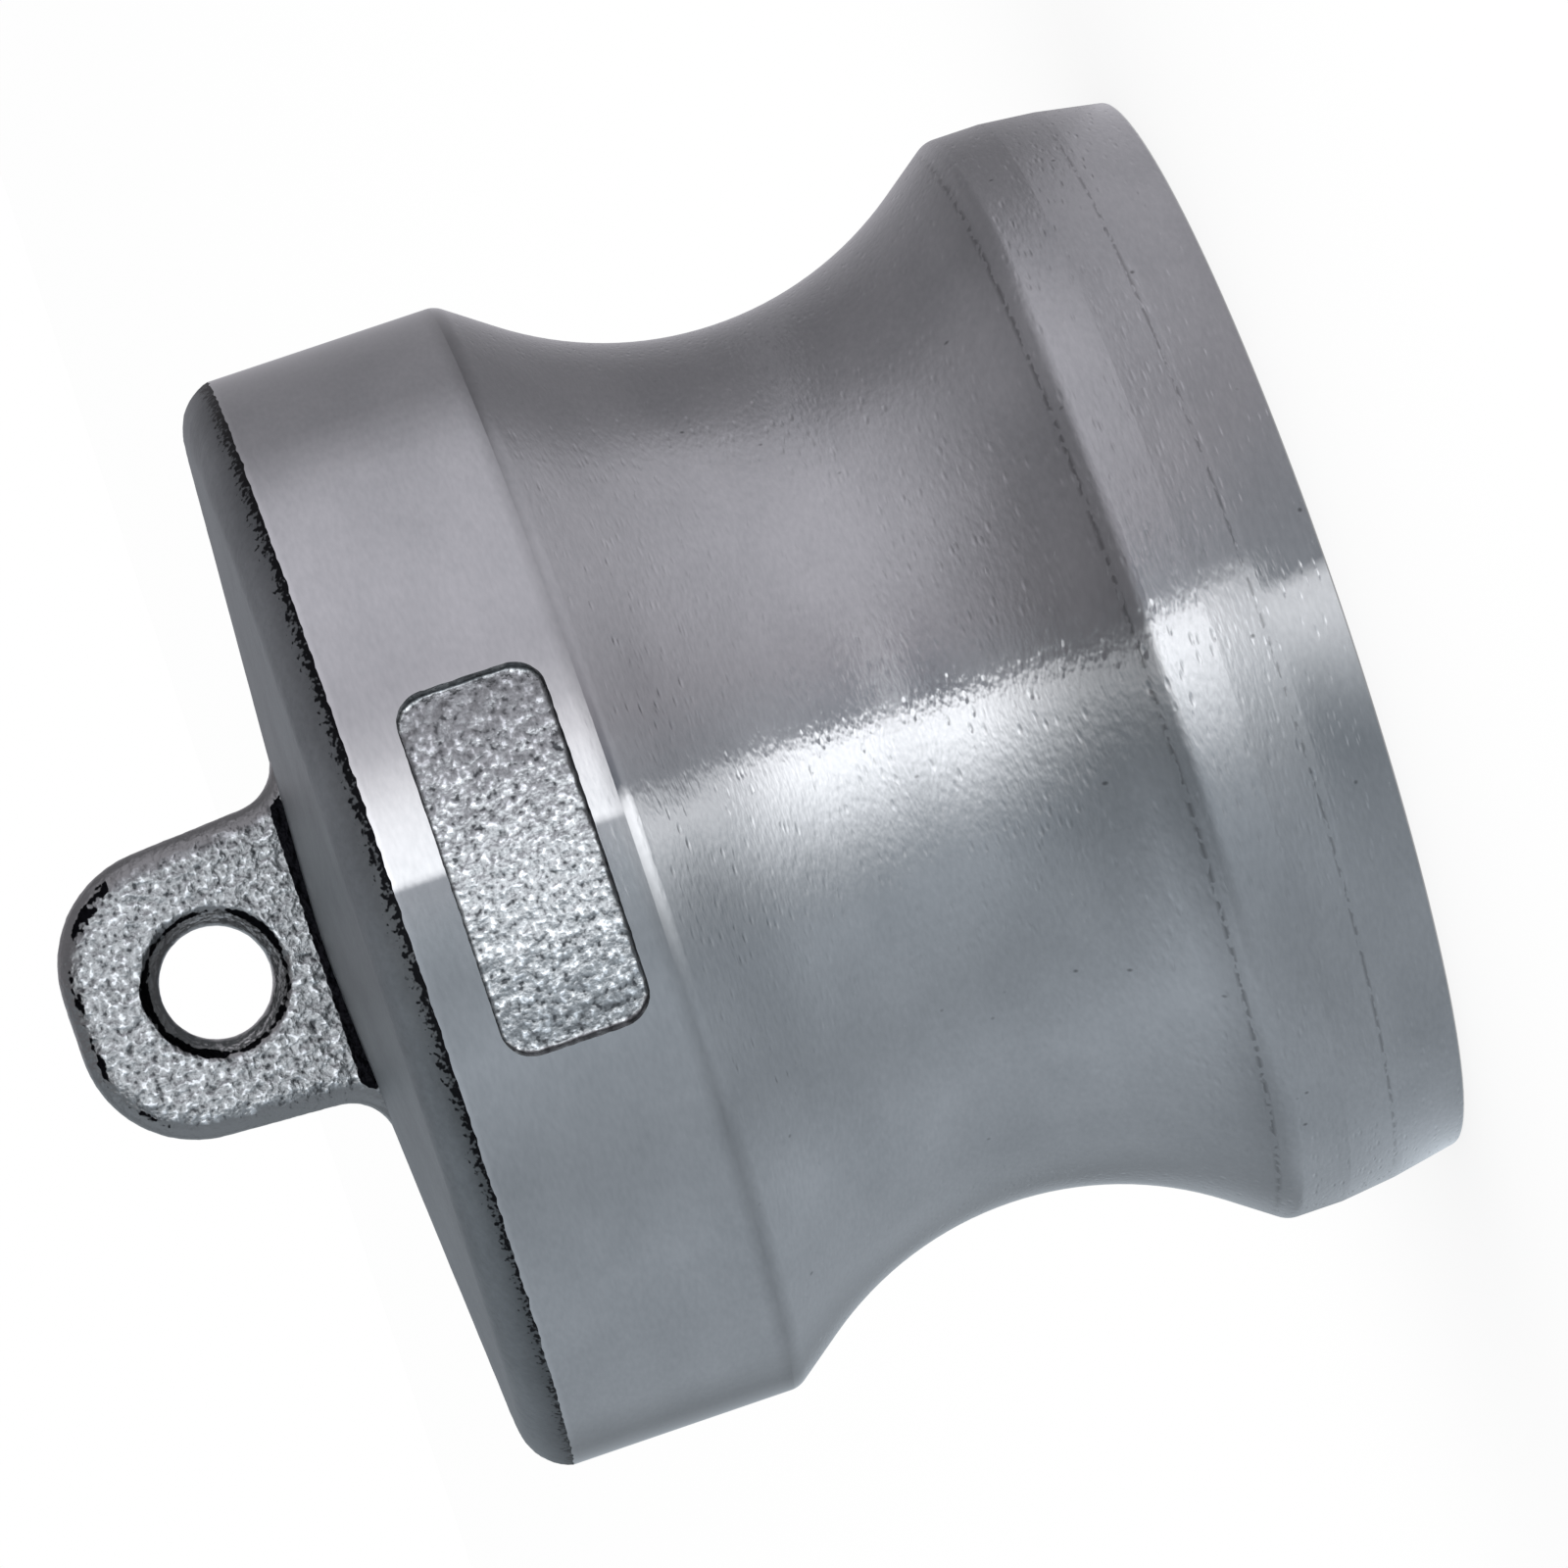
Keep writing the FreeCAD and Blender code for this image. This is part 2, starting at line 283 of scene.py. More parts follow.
# %% [markdown]
# ## The lug
# The lug is a tapered plate with round corners, flared feet and a round rim. A mould gives it no sharp
# edge anywhere. It is drawn as a flat outline, made solid and bevelled. Then it is remeshed into small
# even faces, which round what the bevel left and give the grain enough points to work on.

# %% Cut the lug's outline and make it solid
LUG_HALF_THICKNESS = 1.7
LUG_TIP = plug_high.z / MM
LUG_ROOT = 26.2
ROOT_HALF_WIDTH, TIP_HALF_WIDTH = 4.42, 3.96
FOOT_REACH, FOOT_ROUND = 6.7, 1.35
TIP_ROUND = 3.3
RIM_BEVEL = 0.75
LUG_VOXEL = 0.1

lug_corners = [
    # half width, height, round, rows in the round
    (0, LUG_ROOT, 0, 0),
    (FOOT_REACH, LUG_ROOT, 0, 0),
    (FOOT_REACH, crown_height(FOOT_REACH) - 0.04, 0, 0),
    (ROOT_HALF_WIDTH, crown_height(ROOT_HALF_WIDTH) - 0.02, FOOT_ROUND, 8),
    (TIP_HALF_WIDTH, LUG_TIP, TIP_ROUND, 14),
    (0, LUG_TIP, 0, 0),
]
lug_half, _ = rounded_line(lug_corners)
lug_line = lug_half[1:] + [Vector((-p.x, p.y)) for p in reversed(lug_half[1:-1])]


def keep_modifiers(piece):
    """Turn what the modifiers show into the piece's own mesh."""
    shown = piece.evaluated_get(bpy.context.evaluated_depsgraph_get())
    mesh = bpy.data.meshes.new_from_object(shown)
    piece.modifiers.clear()
    piece.data = mesh


def remeshed(piece, voxel, smooth_rounds):
    """Rebuild a piece from small even faces, and smooth it a little."""
    finish = piece.data.polygons[0].material_index
    remesh = piece.modifiers.new("remesh", "REMESH")
    remesh.mode = "VOXEL"
    remesh.voxel_size = voxel
    smooth = piece.modifiers.new("smooth", "SMOOTH")
    smooth.iterations = smooth_rounds
    keep_modifiers(piece)
    piece.data.polygons.foreach_set("material_index", [finish] * len(piece.data.polygons))


def plate(line, near_side, thickness):
    """Make a flat plate of this outline, which faces -Y with its near side."""
    maker = bmesh.new()
    near_face = maker.faces.new([maker.verts.new((p.x, near_side, p.y)) for p in line])
    far = bmesh.ops.extrude_face_region(maker, geom=[near_face])["geom"]
    bmesh.ops.translate(maker, vec=(0, thickness, 0),
                        verts=[item for item in far if isinstance(item, bmesh.types.BMVert)])
    return maker


maker = plate(lug_line, -LUG_HALF_THICKNESS, 2 * LUG_HALF_THICKNESS)
rim = [edge for edge in maker.edges if abs(edge.verts[0].co.y - edge.verts[1].co.y) < 0.01]
bmesh.ops.bevel(maker, geom=rim, offset=RIM_BEVEL, segments=5, profile=0.5, affect="EDGES")
lug = metal_piece("lug", maker, GRAIN)
remeshed(lug, LUG_VOXEL, 4)
print("lug, faces:", len(lug.data.polygons))

# %% [markdown]
# ## The eye
# The eye is a round hole whose two mouths are wide and round, so its cutter is a spool: a line spun about
# the hole's own axis, narrow in the middle and flared at both ends.

# %% Cut the eye through the lug
EYE_HEIGHT = LUG_TIP - 4.2
EYE_RADIUS = 1.6
MOUTH_ROUND = 0.55
BEYOND = LUG_HALF_THICKNESS + 0.4


def combined(piece, other, operation):
    """Join, cut or overlap a piece with another one, which is used up."""
    change = piece.modifiers.new(operation.lower(), "BOOLEAN")
    change.operation = operation
    change.solver = "MANIFOLD"
    change.object = other
    keep_modifiers(piece)
    bpy.data.objects.remove(other)


mouth = EYE_RADIUS + MOUTH_ROUND
eye_line, _ = rounded_line([
    (0, -BEYOND, 0, 0),
    (mouth + 0.6, -BEYOND, 0, 0),
    (mouth, -LUG_HALF_THICKNESS - 0.05, 0, 0),
    (EYE_RADIUS, -LUG_HALF_THICKNESS + MOUTH_ROUND, 0.4, 4),
    (EYE_RADIUS, LUG_HALF_THICKNESS - MOUTH_ROUND, 0.4, 4),
    (mouth, LUG_HALF_THICKNESS + 0.05, 0, 0),
    (mouth + 0.6, BEYOND, 0, 0),
    (0, BEYOND, 0, 0),
])
eye_spool = spun("eye_spool", eye_line, 96, GRAIN)
eye_spool.data.transform(Matrix.Translation((0, 0, EYE_HEIGHT)) @ Matrix.Rotation(math.pi / 2, 4, "X"))
combined(lug, eye_spool, "DIFFERENCE")
remeshed(lug, LUG_VOXEL, 4)
print("lug with its eye, faces:", len(lug.data.polygons))

# %% [markdown]
# ## Grain on the lug
# The lug's flat sides are the roughest skin of the casting: shallow bumps of about a quarter of a
# millimetre, close together. The rim is rubbed smoother, so the depth falls away from the flat sides.

# %% Roughen the lug
def lug_depth(place):
    """Full depth on the flat sides, and less on the rim."""
    flatness = min(1, max(0, (abs(place.y) - LUG_HALF_THICKNESS + 0.35) / 0.3))
    return 0.012 + 0.02 * flatness


roughen(lug, lug_depth, size=0.24, seed=7.7)

# %% [markdown]
# ## The sunk pad
# A plate in the mould leaves a shallow window in the flange. The lathe can't reach its floor, so the
# floor keeps its grain. The cutter is made flat, remeshed and roughened, and then bent round the flange.

# %% Make the pad's cutter and bend it round the flange
PAD_SPAN = math.radians(37.1)
PAD_TURN = math.radians(1.9)
PAD_LOW, PAD_HIGH = 20.75, 24.9
PAD_CORNER = 0.9
PAD_FLOOR_RADIUS = 15.6
PAD_CUTTER_THICKNESS = 1.2
PAD_VOXEL = 0.11

pad_half_length = PAD_SPAN * RADIUS / 2
pad_half_height = (PAD_HIGH - PAD_LOW) / 2
pad_line, _ = rounded_line([
    (0, -pad_half_height, 0, 0),
    (pad_half_length, -pad_half_height, PAD_CORNER, 8),
    (pad_half_length, pad_half_height, PAD_CORNER, 8),
    (-pad_half_length, pad_half_height, PAD_CORNER, 8),
    (-pad_half_length, -pad_half_height, PAD_CORNER, 8),
    (0, -pad_half_height, 0, 0),
])
pad_cutter = metal_piece("pad_cutter", plate(pad_line[:-1], PAD_FLOOR_RADIUS, PAD_CUTTER_THICKNESS), GRAIN)
remeshed(pad_cutter, PAD_VOXEL, 3)


def pad_depth(place):
    """Grain on the floor only: the walls are the edge of a turned surface."""
    return 0.034 if place.y < PAD_FLOOR_RADIUS + 0.1 else 0.015


roughen(pad_cutter, pad_depth, size=0.26, seed=11.3)
for point in pad_cutter.data.vertices:
    turn = PAD_TURN - point.co.x / RADIUS
    point.co = Vector((math.sin(turn) * point.co.y, -math.cos(turn) * point.co.y,
                       point.co.z + (PAD_LOW + PAD_HIGH) / 2))
print("pad cutter, faces:", len(pad_cutter.data.polygons))

# %% [markdown]
# ## The hollow
# The head is cored out to save metal. Nobody sees the bottom in the photograph, so it is a plain blind
# hole with a broken mouth and a round floor edge, as such castings have.

# %% Make the hollow's cutter
HOLLOW_RADIUS = 10.526
HOLLOW_DEPTH = 23.7
HOLLOW_STEPS = 192

hollow_line, _ = rounded_line([
    (0, -1, 0, 0),
    (HOLLOW_RADIUS + 1.5, -1, 0, 0),
    (HOLLOW_RADIUS, 0.5, 0, 0),
    (HOLLOW_RADIUS, HOLLOW_DEPTH, 1.2, 8),
    (0, HOLLOW_DEPTH, 0, 0),
])
hollow_cutter = spun("hollow_cutter", hollow_line, HOLLOW_STEPS, CORED)
print("hollow cutter, faces:", len(hollow_cutter.data.polygons))

# %% [markdown]
# ## From casting to plug
# The order is the foundry's: the lug belongs to the casting, the pad and the hollow are left out of it,
# and last the lathe leaves only what is inside the turned outside.

# %% Join, sink, core and turn
plug = casting
plug.name = plug.data.name = "plug_casting"
combined(plug, lug, "UNION")
combined(plug, pad_cutter, "DIFFERENCE")
combined(plug, turned_outside, "INTERSECT")
combined(plug, hollow_cutter, "DIFFERENCE")
print("slots:", [material.name for material in plug.data.materials])
counts = np.bincount([face.material_index for face in plug.data.polygons], minlength=4)
print("faces in each finish:", dict(zip(FINISHES, counts.tolist())))
print("triangles:", sum(len(face.vertices) - 2 for face in plug.data.polygons))

# %% [markdown]
# ## True shading for the turned faces
# The cut faces have odd shapes, and shading worked out from them would show faint facets in the polish.
# The lathe's line is known, though, so each corner of a turned face gets the line's own outward direction
# there. The other finishes keep the directions that Blender works out, and the borders between finishes
# are marked sharp.

# %% Give the turned faces the line's own directions
stretch_tops = [max(start.y, end.y) for start, end, _, _ in turned_stretches]


def line_direction(stretch, place):
    """The outward direction of the turned line at a point of one of its stretches."""
    start, end, at_start, at_end = stretch
    run = end - start
    out = math.hypot(place.x, place.y)
    share = (Vector((out, place.z)) - start).dot(run) / run.length_squared
    direction = at_start.lerp(at_end, min(1, max(0, share))).normalized()
    return direction.x * place.x / out, direction.x * place.y / out, direction.y


mesh = plug.data
mesh.polygons.foreach_set("use_smooth", [True] * len(mesh.polygons))
finish_beside = {}
for face in mesh.polygons:
    for edge in face.edge_keys:
        finish_beside.setdefault(edge, set()).add(face.material_index)
for edge in mesh.edges:
    edge.use_edge_sharp = len(finish_beside[edge.key]) > 1

directions = [(0, 0, 0)] * len(mesh.loops)
for face in mesh.polygons:
    if face.material_index == TURNED:
        row = next(i for i, top in enumerate(stretch_tops) if face.center.z <= top + 0.0001)
        for corner in face.loop_indices:
            place = mesh.vertices[mesh.loops[corner].vertex_index].co
            directions[corner] = line_direction(turned_stretches[row], place)
mesh.normals_split_custom_set(directions)
print("corners with the line's own direction:", sum(d != (0, 0, 0) for d in directions))

# %% [markdown]
# ## The plug takes the measured solid's place
# The finished mesh is scaled down to metres and stands in for the one measured solid. It is one casting,
# so it is one piece.

# %% Put the plug in place of the measured solid
mesh.transform(Matrix.Scale(MM, 4))
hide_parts("plug_body")
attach(plug, "root")
print("plug, triangles:", sum(len(face.vertices) - 2 for face in mesh.polygons))

# %% [markdown]
# ## Building a finish from nodes
# Each finish is a small network of shader nodes. One helper adds a node, sets what it is told to set, and
# links or fills its inputs, so that a network reads like a list. The others stand for the few nodes that
# come back often. All patterns are worked out from the place on the plug itself, so they stay with it in
# every view.

# %% Helpers for shader nodes
def node(tree, kind, inputs=None, **settings):
    """Add a shader node; an input gets a socket to link or a value to hold."""
    made = tree.nodes.new("ShaderNode" + kind)
    for name, value in settings.items():
        setattr(made, name, value)
    for name, value in (inputs or {}).items():
        if isinstance(value, bpy.types.NodeSocket):
            tree.links.new(value, made.inputs[name])
        else:
            made.inputs[name].default_value = value
    return made


def maths(tree, operation, *values):
    """One sum on numbers or sockets."""
    return node(tree, "Math", dict(enumerate(values)), operation=operation).outputs[0]


def ramp(tree, value, start, end, at_start=0.0, at_end=1.0, **settings):
    """Go evenly from one number to another while the value goes from start to end."""
    return node(tree, "MapRange", {"Value": value, 1: start, 2: end, 3: at_start, 4: at_end},
                **settings).outputs[0]


def noise_at(tree, place, scale, detail=2.0, roughness=0.5):
    """Soft noise from 0 to 1, with its average near a half."""
    return node(tree, "TexNoise", {"Vector": place, "Scale": scale, "Detail": detail,
                                   "Roughness": roughness}).outputs[0]


def blend(tree, share, first, second):
    """The colour that lies by this share between two colours."""
    return node(tree, "Mix", {"Factor": share, 6: first, 7: second}, data_type="RGBA").outputs[2]


def shaded(tree, colour, factor):
    """A colour made darker or lighter by a factor."""
    return node(tree, "VectorMath", {0: colour, "Scale": factor}, operation="SCALE").outputs[0]


def length_of(tree, place):
    """The length of a direction, or the distance of a place from the origin."""
    return node(tree, "VectorMath", {0: place}, operation="LENGTH").outputs["Value"]


def begin_finish(finish):
    """Make a finish metal, and return its network, its shader and the place on the plug."""
    material = finishes[finish]
    material.use_nodes = True
    tree = material.node_tree
    shader = tree.nodes["Principled BSDF"]
    shader.inputs["Metallic"].default_value = 1.0
    return tree, shader, node(tree, "TexCoord").outputs["Object"]


def complete_finish(tree, shader, bumps, bump_depth, **sockets):
    """Give a shader its bumps, of this depth in metres, and its other sockets."""
    bump = node(tree, "Bump", {"Strength": 1.0, "Distance": bump_depth, "Height": bumps}).outputs[0]
    tree.links.new(bump, shader.inputs["Normal"])
    for name, socket in sockets.items():
        tree.links.new(socket, shader.inputs[name.replace("_", " ")])
    print(len(tree.nodes), "nodes in the finish")


# %% [markdown]
# ## Turned steel
# A lathe tool leaves fine rings. They are seen in two ways: the light spreads across them into a long
# soft band, which the shader's anisotropy does, and up close there are short streaks round the plug. The
# streaks are noise that is stretched round the axis. Its place is written as a direction round the axis
# and a distance along it, which has no seam at the back.

# %% Places and streaks round the axis
tree, steel, place = begin_finish(TURNED)
x_y_z = node(tree, "SeparateXYZ", {0: place}).outputs
height = x_y_z[2]
spoke = node(tree, "CombineXYZ", {0: x_y_z[0], 1: x_y_z[1]}).outputs[0]
round_axis = node(tree, "SeparateXYZ", {
    0: node(tree, "VectorMath", {0: spoke}, operation="NORMALIZE").outputs[0]}).outputs
along_line = maths(tree, "MULTIPLY_ADD", length_of(tree, spoke), 0.3, height)
lathe_place = node(tree, "CombineXYZ", {0: round_axis[0], 1: round_axis[1], 2: along_line}).outputs[0]


def stretched(turn, rise):
    """The place with this many units round a radius, and this many in a metre along the axis."""
    return node(tree, "VectorMath", {0: lathe_place, 1: (turn, turn, rise)}, operation="MULTIPLY").outputs[0]


streaks = noise_at(tree, stretched(11, 11000), 1.0, 3.0, 0.6)
grit = noise_at(tree, stretched(50, 8000), 1.0, 1.0)
blotches = noise_at(tree, stretched(4, 420), 1.0, 2.0)
print("turned steel, nodes so far:", len(tree.nodes))

# %% [markdown]
# ## Marks on the turned steel
# The land is the smoothest part. The groove and the head are a little gritty and have short shallow dents,
# which fray the edge of the bright band, and a few fine pits, whose shade is painted as dark specks. Two
# faint turning lines run round the nose, the groove's edges and the head are duller and painted darker, and
# the land has a painted highlight, a bright line where it meets the cast skin. Rings and lines are masks of
# height.
# Dents and the pits' painted shade are the cell middles of a Voronoi pattern, in some cells only.

# %% Rings, lines, dents and pits
def ring_mask(tree, height, middle, half_width):
    """One at this height in millimetres, and falling to nothing above and below it."""
    away = maths(tree, "ABSOLUTE", maths(tree, "SUBTRACT", height, middle * MM))
    return ramp(tree, away, 0.0, half_width * MM, 1.0, 0.0)


def spots(tree, place, inner, outer, least, **settings):
    """A spot in the cells whose random number is above the least one, and a second number for each cell."""
    cells = node(tree, "TexVoronoi", {"Vector": place, "Scale": 1.0}).outputs
    chances = node(tree, "SeparateColor", {0: cells["Color"]}).outputs
    spot = ramp(tree, cells["Distance"], inner, outer, 1.0, 0.0, **settings)
    return maths(tree, "MULTIPLY", spot, maths(tree, "GREATER_THAN", chances[0], least)), chances[1]


gritty = ramp(tree, height, 19.2 * MM, 19.8 * MM, 1.0, 0.03)
# painted shade: small dark specks where fine pits lie
pit_shade, _ = spots(tree, stretched(17, 1050), 0.03, 0.09, 0.8)
pit_shade = maths(tree, "MULTIPLY", pit_shade, gritty)
dents, dent_depth = spots(tree, stretched(31, 6500), 0.0, 0.52, 0.35, interpolation_type="SMOOTHSTEP")
deeper_on_head = ramp(tree, height, 4.5 * MM, 6 * MM, 1.5, 1.0)
dents = maths(tree, "MULTIPLY", dents, maths(tree, "MULTIPLY", dent_depth, deeper_on_head))

lines = maths(tree, "MAXIMUM", ring_mask(tree, height, 2.2, 0.08), ring_mask(tree, height, 5.55, 0.11))
lines = maths(tree, "MULTIPLY", lines, ramp(tree, grit, 0.46, 0.54))
# the groove's edges and the head: duller, and painted darker in colour
head_edge = maths(tree, "MULTIPLY", ring_mask(tree, height, 5.65, 0.8), 0.65)
head_middle = maths(tree, "MULTIPLY", ring_mask(tree, height, 3.5, 1.8), 0.35)
duller_darker = maths(tree, "MAXIMUM", head_edge, ring_mask(tree, height, 19.9, 0.4))
duller_darker = maths(tree, "MAXIMUM", duller_darker, head_middle)
# painted highlight: a bright line on the land where it meets the cast skin
land_edge_highlight = ring_mask(tree, height, cut_height - 0.04, 0.12)
print("turned steel, nodes so far:", len(tree.nodes))

# %% Put the turned steel together
rough = maths(tree, "MULTIPLY_ADD", streaks, 0.08, 0.10)
rough = maths(tree, "MULTIPLY_ADD", blotches, 0.08, rough)
rough = maths(tree, "MULTIPLY_ADD", duller_darker, 0.06, rough)
rough = maths(tree, "MULTIPLY", rough, maths(tree, "MULTIPLY_ADD", gritty, 0.7, 0.3))
tone = maths(tree, "MULTIPLY_ADD", grit, 0.35, maths(tree, "MULTIPLY", blotches, 0.65))
colour = blend(tree, tone, (0.25, 0.256, 0.264, 1), (0.43, 0.43, 0.438, 1))
# the colour is painted darker on the duller rings and the turning lines, with the pits' painted shade, and
# lighter on the land edge's painted highlight
shade = maths(tree, "MULTIPLY_ADD", duller_darker, -0.24, 1.0)
shade = maths(tree, "MULTIPLY_ADD", lines, -0.4, shade)
shade = maths(tree, "MULTIPLY_ADD", pit_shade, -0.55, shade)
shade = maths(tree, "MULTIPLY_ADD", land_edge_highlight, 0.15, shade)
colour = shaded(tree, colour, shade)

bumps = maths(tree, "MULTIPLY_ADD", grit, 1.1, maths(tree, "MULTIPLY", dents, -1.5))
bumps = maths(tree, "MULTIPLY", maths(tree, "MULTIPLY_ADD", streaks, 0.35, bumps), gritty)
steel.inputs["Anisotropic"].default_value = 0.85
steel.inputs["Anisotropic Rotation"].default_value = 0.25
tangent = node(tree, "Tangent", direction_type="RADIAL", axis="Z").outputs[0]
complete_finish(tree, steel, bumps, 8e-6, Base_Color=colour, Roughness=rough, Tangent=tangent)

# %% [markdown]
# ## Skin of the closed end
# The closed end kept its cast skin and was only blasted: dark, even and dull, with a fine tooth. Where the
# lathe ran out at the shoulder, a black gritty edge of scale is left beside the bright cut: solid at the
# cut, broken into grains further up, and thinner on one side. Towards the cut the skin is painted darker,
# as painted shade.

# %% Cast skin of the closed end
# black of the scale, which also paints the shade along the lug's foot
BLACK_SCALE_AND_SHADE = (0.004, 0.004, 0.005, 1)

tree, crown, place = begin_finish(CROWN)
x_y_z = node(tree, "SeparateXYZ", {0: place}).outputs
tooth = noise_at(tree, place, 5200, 3.0, 0.6)
cloud = noise_at(tree, place, 420, 2.0)
grains = noise_at(tree, place, 7000, 1.0)
above_cut = maths(tree, "SUBTRACT", x_y_z[2], cut_height * MM)
scale_edge = maths(tree, "MULTIPLY_ADD", above_cut, 1 / (0.42 * MM), maths(tree, "MULTIPLY", grains, 2.4))
scale_edge = maths(tree, "ADD", scale_edge, ramp(tree, x_y_z[0], -11 * MM, -4 * MM, 0.35, 0.0))
scale = ramp(tree, scale_edge, 1.55, 1.85, 0.95, 0.0)
# painted shade: the skin grows darker towards the cut
painted_cut_shade = ramp(tree, above_cut, 0.15 * MM, 0.8 * MM, 0.45, 1.0)
tone = maths(tree, "MULTIPLY_ADD", tooth, 0.5, maths(tree, "MULTIPLY", cloud, 0.5))
skin = shaded(tree, blend(tree, tone, (0.135, 0.143, 0.149, 1), (0.305, 0.32, 0.33, 1)), painted_cut_shade)
crown.inputs["Roughness"].default_value = 0.5
complete_finish(tree, crown, tooth, 1.2e-5, Base_Color=blend(tree, scale, skin, BLACK_SCALE_AND_SHADE))

# %% [markdown]
# ## Grain of the lug and the pad
# The lug's flat sides and the pad's floor are grainy and glitter: the high grains are painted bright, a
# painted glint, and the low ones near black. The lug's rim is darker and smoother, and the pad's walls are
# smoother and painted darker still, as painted shade in the recess. Both follow from the surface's own
# direction: the flat sides look straight out in Y. The corner along the lug's foot is painted black as
# painted shade. Black patches lie round the eye's mouth and in grains inside the rim, and the eye's bore
# is painted lighter, as painted light on it.

# %% Grain, black marks, and the painted shade along the lug's foot
tree, grain, place = begin_finish(GRAIN)
x_y_z = node(tree, "SeparateXYZ", {0: place}).outputs
sideways = node(tree, "SeparateXYZ", {0: node(tree, "NewGeometry").outputs["Normal"]}).outputs[1]
sideways = maths(tree, "ABSOLUTE", sideways)
flat = ramp(tree, sideways, 0.88, 0.985)
specks = noise_at(tree, place, 5200, 2.0, 0.6)
tooth = noise_at(tree, place, 11000, 2.0)
grains = noise_at(tree, place, 5200, 1.0)
patches = noise_at(tree, place, 900, 1.0)

from_eye = node(tree, "CombineXYZ", {0: x_y_z[0], 1: maths(tree, "SUBTRACT", x_y_z[2], EYE_HEIGHT * MM)})
from_eye = length_of(tree, from_eye.outputs[0])
black_round_eye = maths(tree, "MULTIPLY", ring_mask(tree, from_eye, EYE_RADIUS + 0.40, 0.21),
                  maths(tree, "MULTIPLY_ADD", patches, 3.0, -0.72))
# painted shade: black along the corner where the lug's flat sides meet the closed end
foot_painted_shade = maths(tree, "MULTIPLY", ring_mask(tree, x_y_z[2], CROWN_TOP - 0.1, 0.31), flat)
beside_rim = ramp(tree, maths(tree, "ABSOLUTE", maths(tree, "SUBTRACT", sideways, 0.86)), 0.0, 0.2, 1.0, 0.0)
black_inside_rim = maths(tree, "MULTIPLY", beside_rim, maths(tree, "MULTIPLY_ADD", patches, 3.0, -1.0))
black_inside_rim = maths(tree, "MULTIPLY", black_inside_rim, maths(tree, "GREATER_THAN", x_y_z[2], (LUG_TIP - 2.2) * MM))
# black round the eye and inside the rim, with the painted shade along the foot
scale = maths(tree, "MAXIMUM", black_round_eye, maths(tree, "MULTIPLY", foot_painted_shade, 2.2))
scale = maths(tree, "MAXIMUM", scale, black_inside_rim)
scale = ramp(tree, maths(tree, "ADD", scale, grains), 1.02, 1.16)
print("cast grain, nodes so far:", len(tree.nodes))

# %% Put the grain together
on_pad = maths(tree, "LESS_THAN", x_y_z[2], 26 * MM)
side = blend(tree, ramp(tree, specks, 0.3, 0.7), (0.11, 0.114, 0.118, 1), (0.40, 0.412, 0.42, 1))
# painted glint: the high grains are painted bright, and the low ones near black
side = blend(tree, ramp(tree, grains, 0.60, 0.68, 0.0, 0.8), side, (0.62, 0.64, 0.66, 1))
side = blend(tree, ramp(tree, grains, 0.36, 0.28, 0.0, 0.85), side, (0.035, 0.037, 0.04, 1))
side = shaded(tree, side, maths(tree, "MULTIPLY_ADD", on_pad, 0.3, 1.0))
# painted shade: on the pad the walls are darker, as shade in the recess
rim = blend(tree, on_pad, (0.215, 0.215, 0.216, 1), (0.13, 0.133, 0.136, 1))
# painted light: the eye's bore is lighter than the rim
in_mouth = ramp(tree, ring_mask(tree, from_eye, EYE_RADIUS, 0.5), 0.15, 0.4)
rim = blend(tree, in_mouth, rim, (0.37, 0.37, 0.37, 1))
# the black marks and the foot's painted shade go over all the rest
colour = blend(tree, scale, blend(tree, flat, rim, side), BLACK_SCALE_AND_SHADE)
bumps = maths(tree, "MULTIPLY_ADD", tooth, 0.25, maths(tree, "MULTIPLY_ADD", grains, 0.7, specks))
grain.inputs["Roughness"].default_value = 0.3
complete_finish(tree, grain, bumps, 3e-5, Base_Color=colour)

# %% [markdown]
# ## Wall of the hollow
# The core leaves a dull, even, sandy wall.

# %% Wall of the hollow
tree, cored, place = begin_finish(CORED)
sand = noise_at(tree, place, 2600, 3.0, 0.6)
colour = blend(tree, sand, (0.16, 0.16, 0.16, 1), (0.34, 0.335, 0.33, 1))
cored.inputs["Roughness"].default_value = 0.55
complete_finish(tree, cored, sand, 3e-5, Base_Color=colour)

# %% [markdown]
# ## A white table under a white sky
# The picture's background is plain white. The world is white at a strength of one, and the table is a
# white sheet that takes a soft shadow. What the camera and the metal see of the table is mostly its plain
# white colour, so that it doesn't go grey away from the lamps.

# %% Table and sky
WHITE = (1, 1, 1, 1)
PLAIN_SHARE = 0.8
HALF_TABLE = 3.0

world = bpy.data.worlds.new("white_room")
world.use_nodes = True
world.node_tree.nodes["Background"].inputs["Color"].default_value = WHITE
world.node_tree.nodes["Background"].inputs["Strength"].default_value = 1.0
world.cycles.sampling_method = "NONE"
bpy.context.scene.world = world

sheet = bpy.data.materials.new("white_sheet")
sheet.use_nodes = True
tree = sheet.node_tree
tree.nodes.clear()
rays = node(tree, "LightPath").outputs
seen = maths(tree, "ADD", rays["Is Camera Ray"], rays["Is Glossy Ray"])
seen = node(tree, "Math", {0: seen, 1: rays["Is Transmission Ray"]}, operation="ADD", use_clamp=True)
share = maths(tree, "MULTIPLY", seen.outputs[0], PLAIN_SHARE)
paper = node(tree, "BsdfDiffuse", {"Color": (0.94, 0.94, 0.94, 1)}).outputs[0]
plain_white = node(tree, "Emission", {"Color": WHITE, "Strength": 1.0}).outputs[0]
mixed = node(tree, "MixShader", {0: share, 1: paper, 2: plain_white}).outputs[0]
node(tree, "OutputMaterial", {"Surface": mixed})

